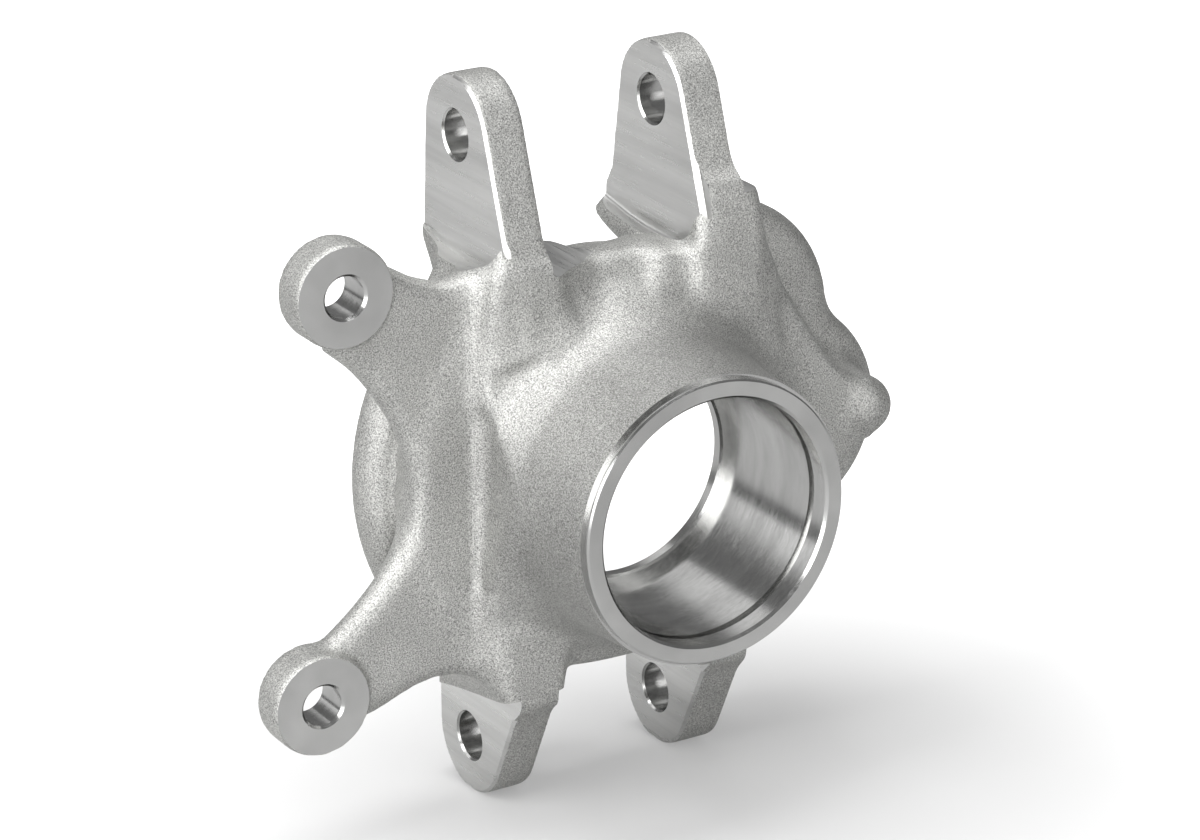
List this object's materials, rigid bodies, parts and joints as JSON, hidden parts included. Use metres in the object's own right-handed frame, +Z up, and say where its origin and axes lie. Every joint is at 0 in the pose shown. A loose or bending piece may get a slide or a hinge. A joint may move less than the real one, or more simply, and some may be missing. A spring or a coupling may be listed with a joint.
{
  "type": "steering knuckle",
  "caption": "Left-hand steering knuckle: one aluminium casting with a bored bearing seat, two milled clevises, two caliper bosses and a steering arm.",
  "frame": {"origin": "middle of the wheel bearing's seat, on the wheel axis", "axes": "+X along the wheel axis toward the wheel, +Z up, -Y toward the brake caliper"},
  "size_m": [0.1058, 0.2197, 0.2236],
  "materials": {
    "aluminium": "shot-blasted casting, with machined fits"
  },
  "bodies": {
    "root": {"knuckle": "aluminium"}
  },
  "joints": []
}
